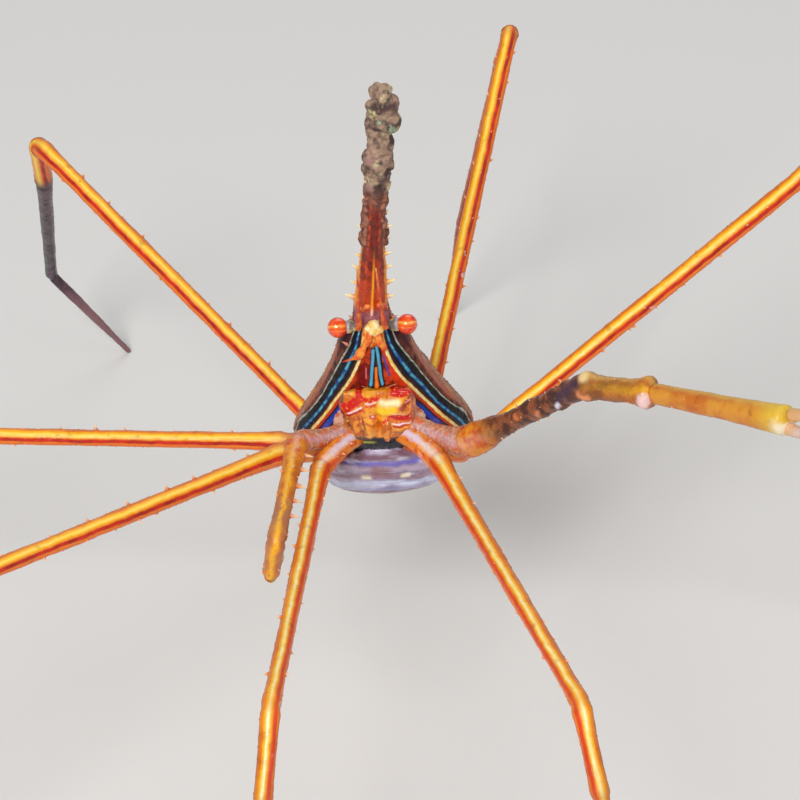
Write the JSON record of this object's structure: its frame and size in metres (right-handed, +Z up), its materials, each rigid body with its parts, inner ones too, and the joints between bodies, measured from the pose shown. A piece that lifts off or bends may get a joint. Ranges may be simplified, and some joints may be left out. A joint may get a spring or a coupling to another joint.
{
  "type": "arrow crab figure",
  "caption": "Life-size still arrow crab standing on long thin legs, with a long spiny rostrum, round eyes on short stalks and slender claws.",
  "frame": {"origin": "on the floor, under the middle of the box round the whole crab", "axes": "+Z up, face towards -Y, the crab's left towards +X"},
  "size_m": [0.1528, 0.1366, 0.0689],
  "materials": {
    "shell": "satin, striped",
    "rostrum_shell": "satin, with rough crust",
    "under_shell": "satin, granular",
    "abdomen_shell": "pearly",
    "mouth_shell": "satin, lined",
    "cornea": "glossy",
    "feeler": "satin",
    "claw_shell": "satin",
    "leg_shell": "satin, striped"
  },
  "bodies": {
    "root": {"abdomen": "abdomen_shell", "antenna_left": "feeler", "antenna_right": "feeler", "carapace": "shell", "cheliped_left_carpus": "claw_shell", "cheliped_left_dactyl": "claw_shell", "cheliped_left_hip": "claw_shell", "cheliped_left_merus": "claw_shell", "cheliped_left_palm": "claw_shell", "cheliped_right_carpus": "claw_shell", "cheliped_right_dactyl": "claw_shell", "cheliped_right_hip": "claw_shell", "cheliped_right_merus": "claw_shell", "cheliped_right_palm": "claw_shell", "eye_left": "cornea", "eye_right": "cornea", "leg_2_left_carpus": "leg_shell", "leg_2_left_dactyl": "leg_shell", "leg_2_left_hip": "leg_shell", "leg_2_left_merus": "leg_shell", "leg_2_left_propodus": "leg_shell", "leg_2_right_carpus": "leg_shell", "leg_2_right_dactyl": "leg_shell", "leg_2_right_hip": "leg_shell", "leg_2_right_merus": "leg_shell", "leg_2_right_propodus": "leg_shell", "leg_3_left_carpus": "leg_shell", "leg_3_left_dactyl": "leg_shell", "leg_3_left_hip": "leg_shell", "leg_3_left_merus": "leg_shell", "leg_3_left_propodus": "leg_shell", "leg_3_right_carpus": "leg_shell", "leg_3_right_dactyl": "leg_shell", "leg_3_right_hip": "leg_shell", "leg_3_right_merus": "leg_shell", "leg_3_right_propodus": "leg_shell", "leg_4_left_carpus": "leg_shell", "leg_4_left_dactyl": "leg_shell", "leg_4_left_hip": "leg_shell", "leg_4_left_merus": "leg_shell", "leg_4_left_propodus": "leg_shell", "leg_4_right_carpus": "leg_shell", "leg_4_right_dactyl": "leg_shell", "leg_4_right_hip": "leg_shell", "leg_4_right_merus": "leg_shell", "leg_4_right_propodus": "leg_shell", "leg_5_left_carpus": "leg_shell", "leg_5_left_dactyl": "leg_shell", "leg_5_left_hip": "leg_shell", "leg_5_left_merus": "leg_shell", "leg_5_left_propodus": "leg_shell", "leg_5_right_carpus": "leg_shell", "leg_5_right_dactyl": "leg_shell", "leg_5_right_hip": "leg_shell", "leg_5_right_merus": "leg_shell", "leg_5_right_propodus": "leg_shell", "maxilliped_left": "mouth_shell", "maxilliped_right": "mouth_shell", "rostrum": "rostrum_shell", "sternum": "under_shell"}
  },
  "joints": []
}
